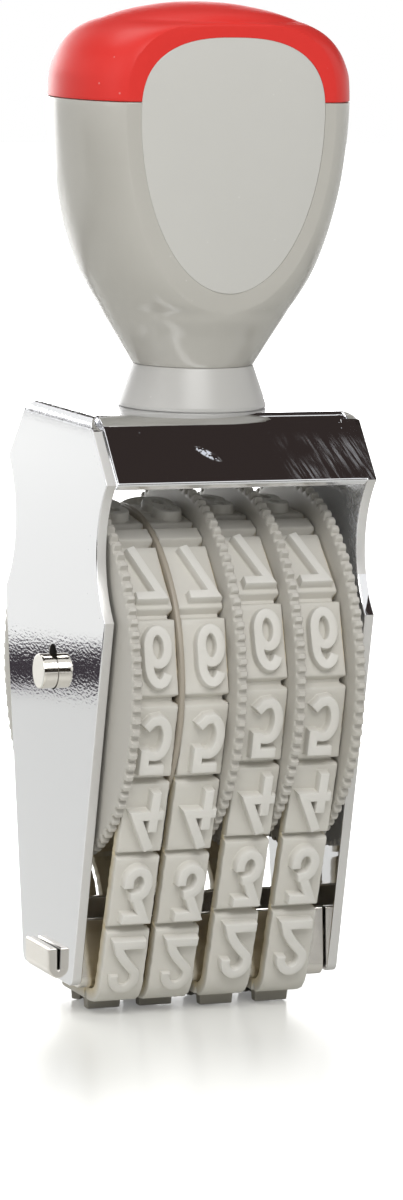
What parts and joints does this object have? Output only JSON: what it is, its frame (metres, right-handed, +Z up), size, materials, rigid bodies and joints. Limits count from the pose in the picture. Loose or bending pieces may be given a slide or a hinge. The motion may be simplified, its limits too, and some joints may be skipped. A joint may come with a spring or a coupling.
{
  "type": "numbering machine",
  "caption": "Hand numbering stamp with printing bands on toothed thumb wheels in a folded metal frame under a moulded handle.",
  "frame": {"origin": "middle of the frame on the plane of the printed digits, where the stamp stands", "axes": "+Z up through the handle, +X along the axle to the right, +Y to the back; the front is at -Y"},
  "size_m": [0.036, 0.0428, 0.1142],
  "materials": {
    "chrome": "polished",
    "nickel": "bright nickel plate",
    "axle_steel": "polished",
    "light_plastic": "satin",
    "taupe_plastic": "satin",
    "band_rubber": "matt",
    "collar_plastic": "satin",
    "grey_plastic": "semi-gloss",
    "label_plastic": "fine satin",
    "red_plastic": "semi-gloss",
    "brass": "turned",
    "zinc_steel": "zinc plated"
  },
  "bodies": {
    "frame": {"frame": "chrome", "anvil": "nickel", "axle": "axle_steel", "axle_spacer": "light_plastic", "band_1": "band_rubber", "band_2": "band_rubber", "band_3": "band_rubber", "band_4": "band_rubber", "collar": "collar_plastic", "handle_body": "grey_plastic", "handle_cap": "red_plastic", "front_label_plate": "label_plastic", "rear_label_plate": "label_plastic", "threaded_insert": "brass", "handle_screw": "zinc_steel", "spring_washer": "zinc_steel"},
    "wheel_1": {"wheel_1": "light_plastic"},
    "wheel_2": {"wheel_2": "light_plastic"},
    "wheel_3": {"wheel_3": "light_plastic"},
    "wheel_4": {"wheel_4": "light_plastic"},
    "separator_disc": {"separator_disc": "taupe_plastic"}
  },
  "joints": [
    {"name": "wheel_1_spin", "type": "hinge", "parent": "frame", "child": "wheel_1", "pos_m": [0, 0, 0.0385], "axis": [1, 0, 0], "continuous": true},
    {"name": "wheel_2_spin", "type": "hinge", "parent": "frame", "child": "wheel_2", "pos_m": [0, 0, 0.0385], "axis": [1, 0, 0], "continuous": true},
    {"name": "wheel_3_spin", "type": "hinge", "parent": "frame", "child": "wheel_3", "pos_m": [0, 0, 0.0385], "axis": [1, 0, 0], "continuous": true},
    {"name": "wheel_4_spin", "type": "hinge", "parent": "frame", "child": "wheel_4", "pos_m": [0, 0, 0.0385], "axis": [1, 0, 0], "continuous": true},
    {"name": "separator_disc_spin", "type": "hinge", "parent": "frame", "child": "separator_disc", "pos_m": [0, 0, 0.0385], "axis": [1, 0, 0], "continuous": true}
  ]
}
